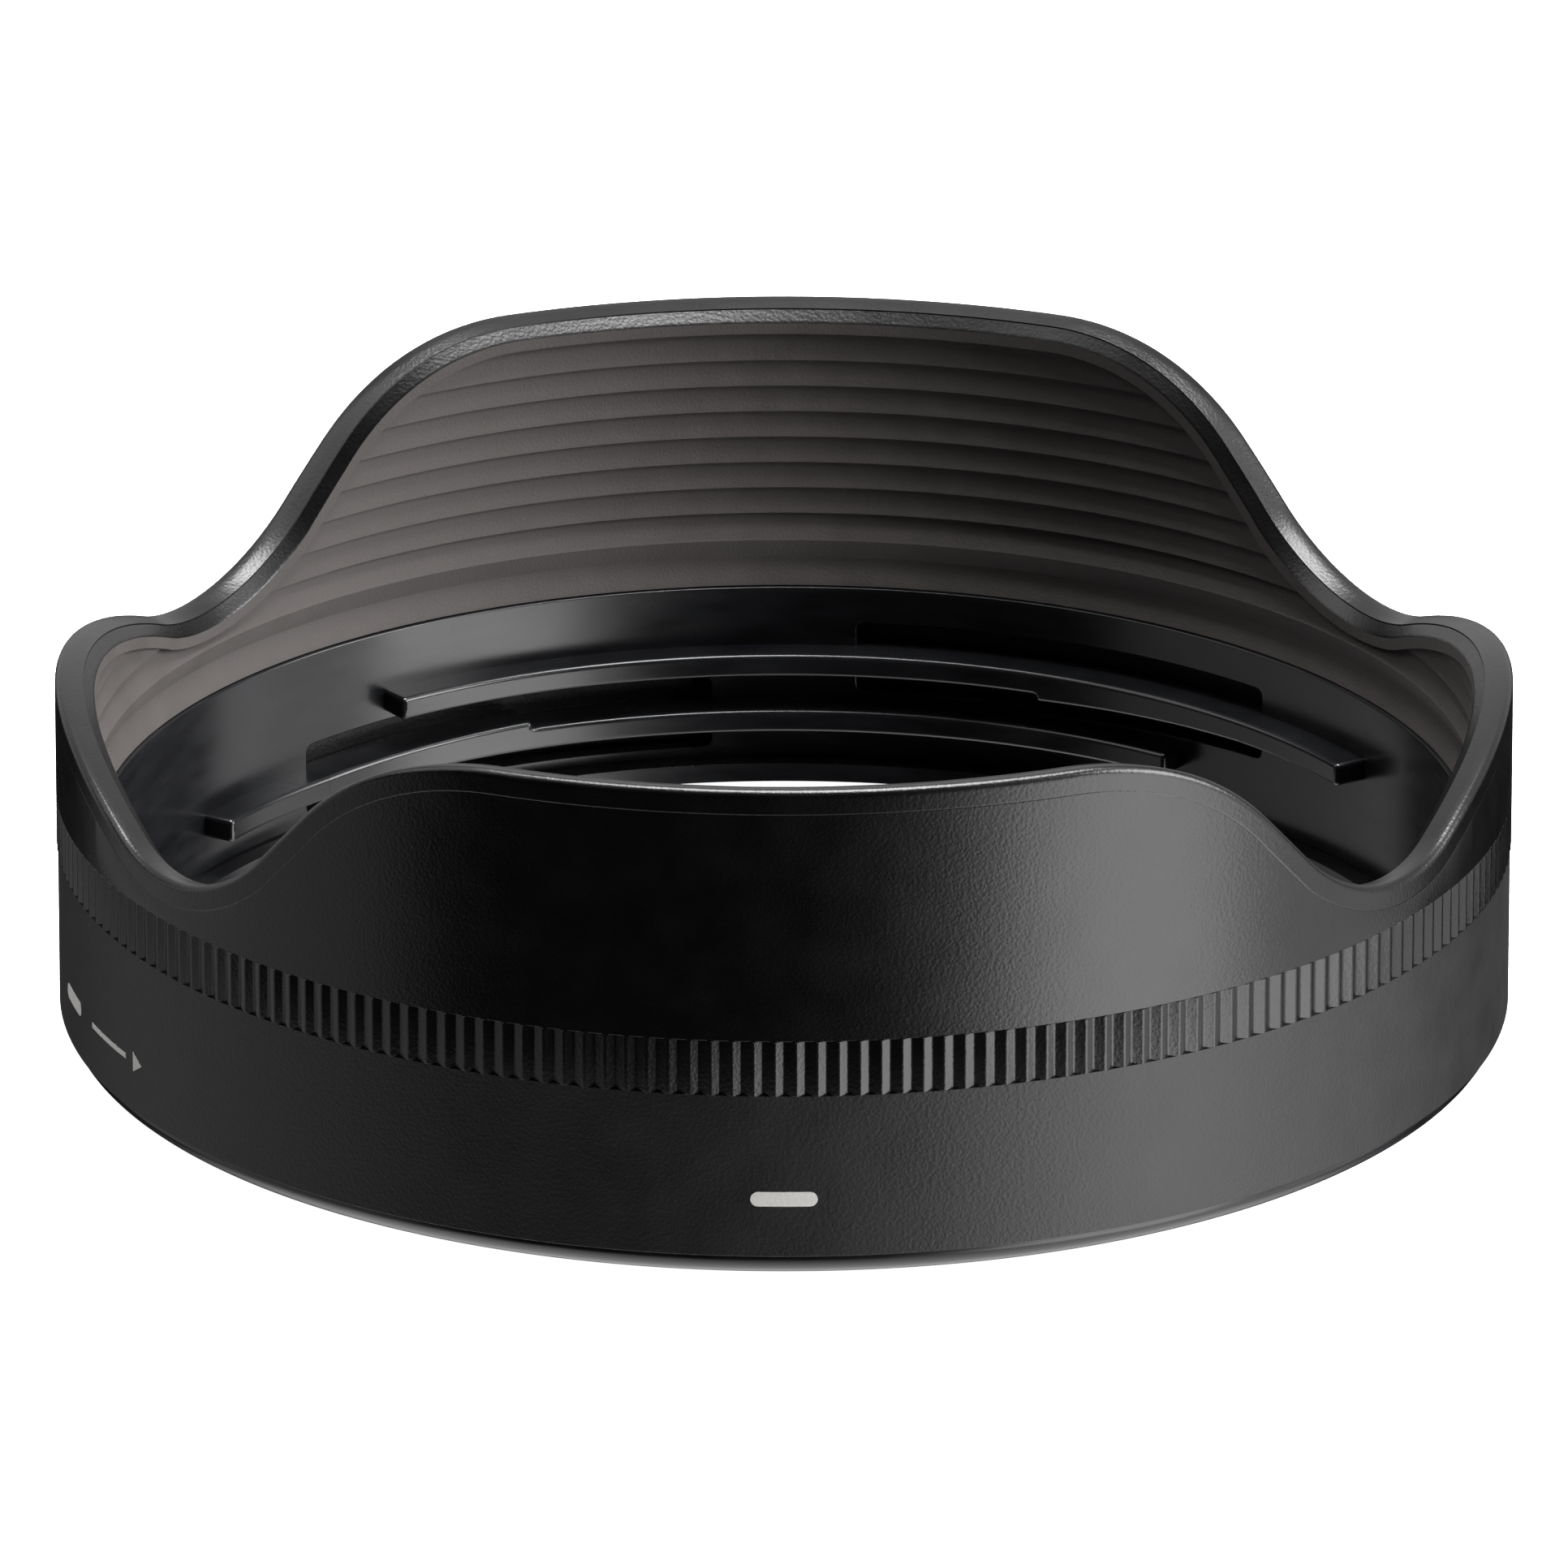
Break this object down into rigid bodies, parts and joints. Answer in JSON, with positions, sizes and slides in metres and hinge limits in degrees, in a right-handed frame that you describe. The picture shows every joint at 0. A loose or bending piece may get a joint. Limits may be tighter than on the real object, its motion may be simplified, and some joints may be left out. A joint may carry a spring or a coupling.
{
  "type": "lens hood",
  "caption": "Petal lens hood with light-trap steps, a fine ridged grip band and a two-level bayonet ring with sprung rail arms.",
  "frame": {"origin": "centre of the rear opening, on the plane of the rear face", "axes": "+Z along the lens axis towards the front of the hood; long petals on Y, the index dash on -Y; short petals on X"},
  "size_m": [0.079, 0.079, 0.0276],
  "materials": {
    "black_grain_plastic": "fine spark-eroded grain",
    "black_satin_plastic": "smooth satin",
    "pale_paint": "filled print"
  },
  "bodies": {
    "hood": {"petal_barrel": "black_grain_plastic", "grip_ring": "black_grain_plastic", "rear_skirt": "black_grain_plastic", "mount_ring": "black_satin_plastic", "index_mark": "pale_paint", "lock_marks": "pale_paint"},
    "arm_upper_rear_right": {"arm_upper_rear_right": "black_satin_plastic"},
    "arm_upper_front_left": {"arm_upper_front_left": "black_satin_plastic"},
    "arm_lower_rear_left": {"arm_lower_rear_left": "black_satin_plastic"},
    "arm_lower_front_right": {"arm_lower_front_right": "black_satin_plastic"}
  },
  "joints": [
    {"name": "arm_upper_rear_right_spring", "type": "slide", "parent": "hood", "child": "arm_upper_rear_right", "axis": [0.4392, 0.8984, 0], "range_m": [0, 0.0004], "stiffness_N_per_m": 6000},
    {"name": "arm_upper_front_left_spring", "type": "slide", "parent": "hood", "child": "arm_upper_front_left", "axis": [-0.4392, -0.8984, 0], "range_m": [0, 0.0004], "stiffness_N_per_m": 6000},
    {"name": "arm_lower_rear_left_spring", "type": "slide", "parent": "hood", "child": "arm_lower_rear_left", "axis": [-0.4392, 0.8984, 0], "range_m": [0, 0.0004], "stiffness_N_per_m": 6000},
    {"name": "arm_lower_front_right_spring", "type": "slide", "parent": "hood", "child": "arm_lower_front_right", "axis": [0.4392, -0.8984, 0], "range_m": [0, 0.0004], "stiffness_N_per_m": 6000}
  ]
}
